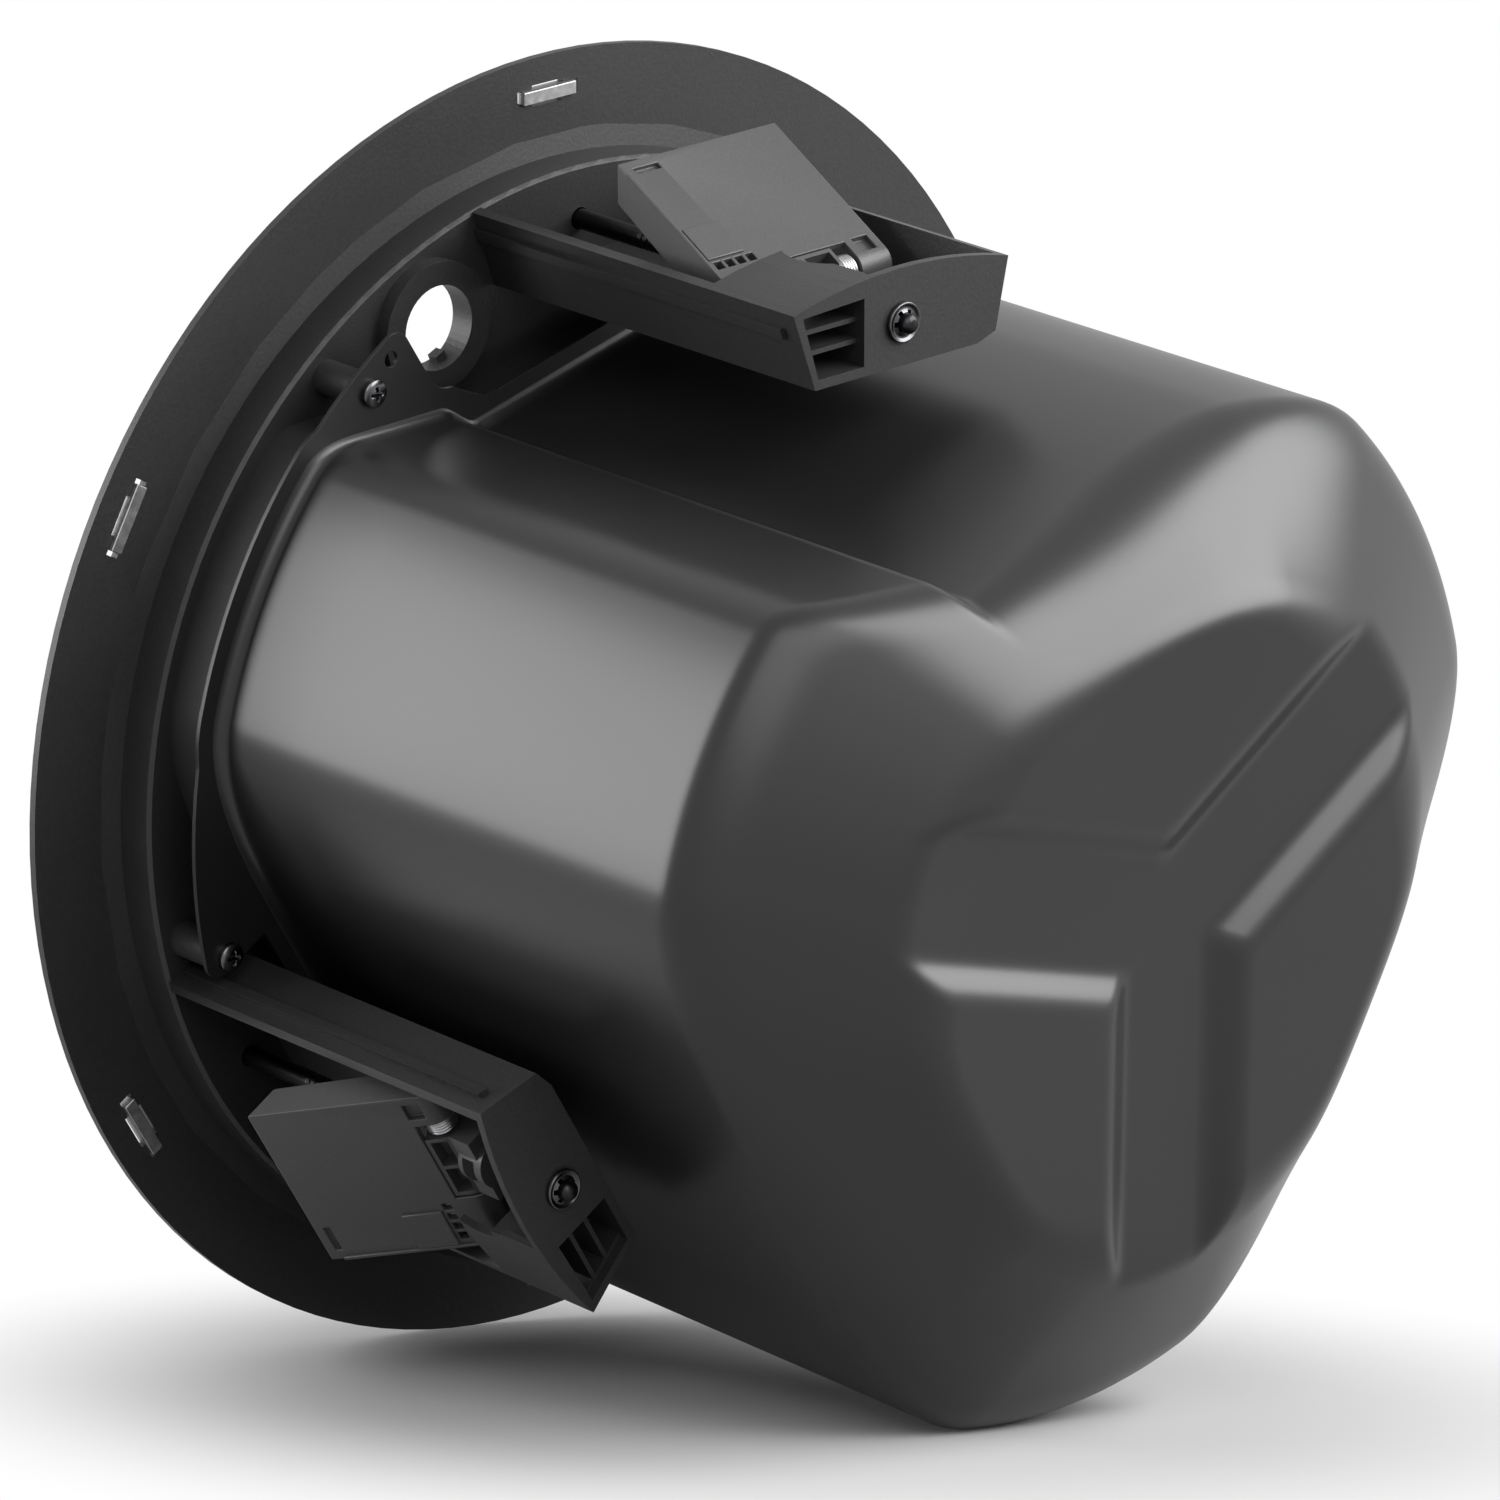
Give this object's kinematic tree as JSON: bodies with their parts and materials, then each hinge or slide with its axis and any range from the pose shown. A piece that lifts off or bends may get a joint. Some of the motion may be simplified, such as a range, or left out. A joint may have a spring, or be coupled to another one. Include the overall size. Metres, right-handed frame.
{
  "type": "in ceiling speaker",
  "caption": "Round in-ceiling loudspeaker with a wide flange, deep lobed back can and spring-loaded barb clamps on screws.",
  "frame": {"origin": "centre of the flange's room-side face", "axes": "+Z through the ceiling towards the rear of the can; +Y towards the first clamp tower"},
  "size_m": [0.33, 0.33, 0.222],
  "materials": {
    "moulding": "fine-grained charcoal",
    "can_coat": "satin charcoal",
    "black_nickel": "dark bright plating",
    "magnet_grey": "plain nickel",
    "carriage_plastic": "plain charcoal",
    "zinc": "zinc plated",
    "foam": "closed-cell foam",
    "basket_steel": "black enamel",
    "motor_steel": "zinc plated",
    "ferrite": "ground ferrite",
    "cone_pulp": "coated cone",
    "surround_rubber": "matt rubber",
    "spider_cloth": "treated cloth",
    "copper": "enamelled copper",
    "silk": "coated silk",
    "board": "solder-masked board",
    "film_box": "dipped film",
    "terminal_plastic": "plain black"
  },
  "bodies": {
    "frame": {"baffle": "moulding", "grille_magnets": "magnet_grey", "back_can": "can_coat", "can_gasket": "foam", "can_screws": "black_nickel", "woofer_basket": "basket_steel", "woofer_gasket": "foam", "woofer_screws": "black_nickel", "woofer_top_plate": "motor_steel", "woofer_magnet": "ferrite", "woofer_back_plate": "motor_steel", "tweeter_post": "motor_steel", "tweeter_housing": "terminal_plastic", "tweeter_dome": "silk", "tweeter_magnet": "magnet_grey", "crossover_standoffs": "terminal_plastic", "crossover_board": "board", "crossover_coils": "copper", "crossover_capacitors": "film_box", "terminal_block": "terminal_plastic"},
    "cone": {"woofer_cone": "cone_pulp", "voice_coil": "copper", "woofer_surround": "surround_rubber", "woofer_spider": "spider_cloth"},
    "screw_a": {"clamp_screw_a": "black_nickel", "clamp_washer_a": "black_nickel"},
    "carriage_a": {"clamp_carriage_a": "carriage_plastic", "clamp_nut_a": "zinc", "clamp_spring_a": "zinc"},
    "barb_a": {"clamp_flap_a": "carriage_plastic"},
    "screw_b": {"clamp_screw_b": "black_nickel", "clamp_washer_b": "black_nickel"},
    "carriage_b": {"clamp_carriage_b": "carriage_plastic", "clamp_nut_b": "zinc", "clamp_spring_b": "zinc"},
    "barb_b": {"clamp_flap_b": "carriage_plastic"},
    "screw_c": {"clamp_screw_c": "black_nickel", "clamp_washer_c": "black_nickel"},
    "carriage_c": {"clamp_carriage_c": "carriage_plastic", "clamp_nut_c": "zinc", "clamp_spring_c": "zinc"},
    "barb_c": {"clamp_flap_c": "carriage_plastic"}
  },
  "joints": [
    {"name": "spin_a", "type": "hinge", "parent": "frame", "child": "screw_a", "pos_m": [0, 0.1261, 0.06], "axis": [0, 0, 1], "range_deg": [0, 7920]},
    {"name": "travel_a", "type": "slide", "parent": "frame", "child": "carriage_a", "axis": [0, 0, -1], "range_m": [0, 0.044]},
    {"name": "fold_a", "type": "hinge", "parent": "carriage_a", "child": "barb_a", "pos_m": [0, 0.128, 0.0933], "axis": [1, 0, 0], "range_deg": [-30, 0], "stiffness_Nm_per_rad": 0.03, "springref_deg": 20.63},
    {"name": "spin_b", "type": "hinge", "parent": "frame", "child": "screw_b", "pos_m": [-0.10921, -0.06305, 0.06], "axis": [0, 0, 1], "range_deg": [0, 7920]},
    {"name": "travel_b", "type": "slide", "parent": "frame", "child": "carriage_b", "axis": [0, 0, -1], "range_m": [0, 0.044]},
    {"name": "fold_b", "type": "hinge", "parent": "carriage_b", "child": "barb_b", "pos_m": [-0.11085, -0.064, 0.0933], "axis": [-0.5, 0.866, 0], "range_deg": [-30, 0], "stiffness_Nm_per_rad": 0.03, "springref_deg": 20.63},
    {"name": "spin_c", "type": "hinge", "parent": "frame", "child": "screw_c", "pos_m": [0.10921, -0.06305, 0.06], "axis": [0, 0, 1], "range_deg": [0, 7920]},
    {"name": "travel_c", "type": "slide", "parent": "frame", "child": "carriage_c", "axis": [0, 0, -1], "range_m": [0, 0.044]},
    {"name": "fold_c", "type": "hinge", "parent": "carriage_c", "child": "barb_c", "pos_m": [0.11085, -0.064, 0.0933], "axis": [-0.5, -0.866, 0], "range_deg": [-30, 0], "stiffness_Nm_per_rad": 0.03, "springref_deg": 20.63},
    {"name": "cone_stroke", "type": "slide", "parent": "frame", "child": "cone", "axis": [0, 0, 1], "range_m": [-0.003, 0.003], "stiffness_N_per_m": 2200, "deforming": ["woofer_surround", "woofer_spider"]}
  ],
  "couplings": [
    {"joint": "spin_a", "follows": "travel_a", "rad_per_m": 3141.6},
    {"joint": "spin_b", "follows": "travel_b", "rad_per_m": 3141.6},
    {"joint": "spin_c", "follows": "travel_c", "rad_per_m": 3141.6}
  ]
}
